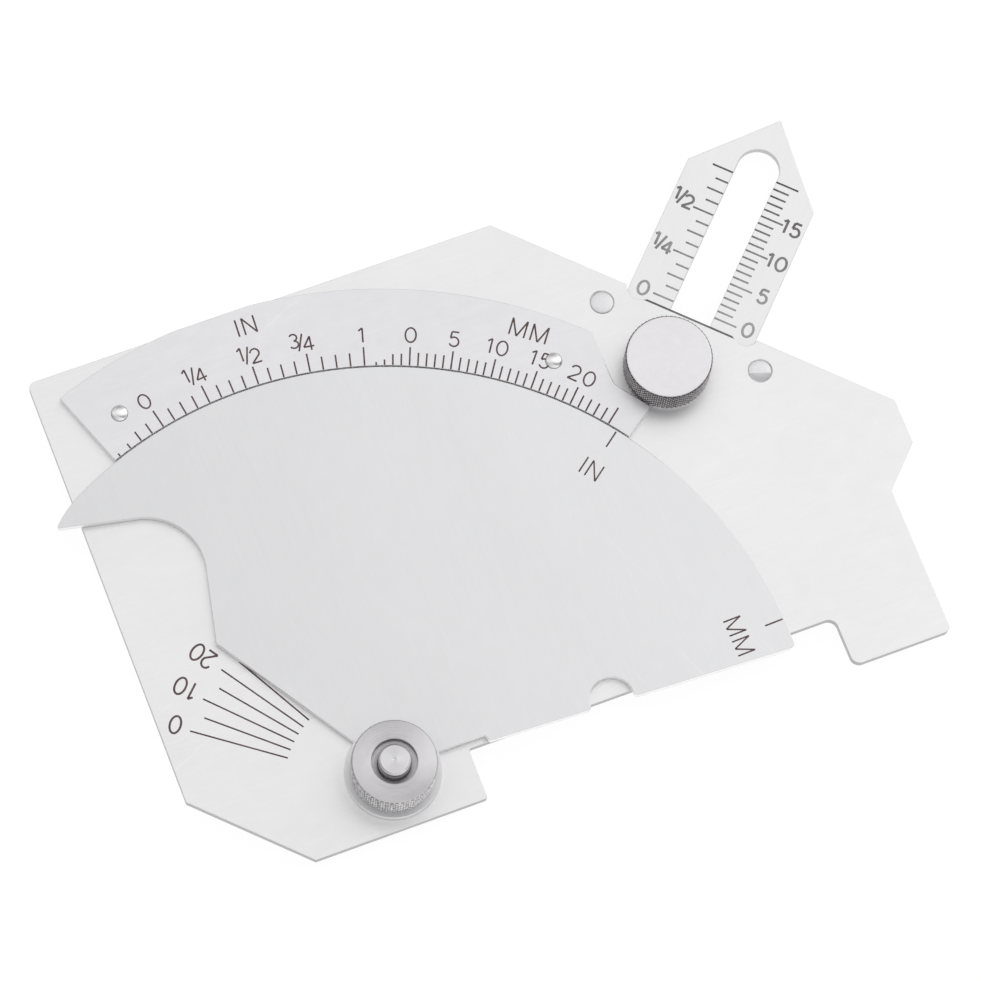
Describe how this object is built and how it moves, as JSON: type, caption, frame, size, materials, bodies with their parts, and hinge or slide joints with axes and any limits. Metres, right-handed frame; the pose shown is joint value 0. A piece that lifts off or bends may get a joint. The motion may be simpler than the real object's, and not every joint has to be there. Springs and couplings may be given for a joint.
{
  "type": "cam weld gauge",
  "caption": "Flat steel weld gauge: a pointer cam turns against a curved scale, a pointed slide runs out at 45 degrees, and a knurled nut and a thumb screw clamp them",
  "frame": {"origin": "middle of the bounding box, on the surface that the gauge lies on with its front face up", "axes": "+X from the pointer towards the ear, +Y from the feet towards the top edge, +Z out of the front face"},
  "size_m": [0.1038, 0.0698, 0.0097],
  "materials": {
    "plate_steel": "fine satin stainless steel",
    "cam_steel": "satin stainless steel, a little darker than the plate",
    "turned_steel": "turned and knurled, bright plated",
    "rivet_steel": "bright rivet heads"
  },
  "bodies": {
    "gauge_plate": {"main_plate": "plate_steel", "scale_band": "plate_steel", "band_rivet_left": "rivet_steel", "band_rivet_right": "rivet_steel", "pivot_stud": "turned_steel", "slide_keeper": "plate_steel", "keeper_rivet_left": "rivet_steel", "keeper_rivet_right": "rivet_steel"},
    "cam": {"cam_plate": "cam_steel"},
    "nut": {"lock_nut": "turned_steel"},
    "slide": {"throat_slide": "plate_steel"},
    "screw": {"thumb_screw": "turned_steel"}
  },
  "joints": [
    {"name": "cam_turn", "type": "hinge", "parent": "gauge_plate", "child": "cam", "pos_m": [-0.02448, -0.02798, 0], "axis": [0, 0, 1], "range_deg": [-35, 70]},
    {"name": "nut_turn", "type": "hinge", "parent": "gauge_plate", "child": "nut", "pos_m": [-0.02448, -0.02798, 0], "axis": [0, 0, 1], "continuous": true},
    {"name": "slide_run", "type": "slide", "parent": "gauge_plate", "child": "slide", "axis": [0.7071, 0.7071, 0], "range_m": [-0.03, 0.0015]},
    {"name": "screw_turn", "type": "hinge", "parent": "gauge_plate", "child": "screw", "pos_m": [0.02569, 0.00869, 0], "axis": [0, 0, 1], "continuous": true}
  ]
}
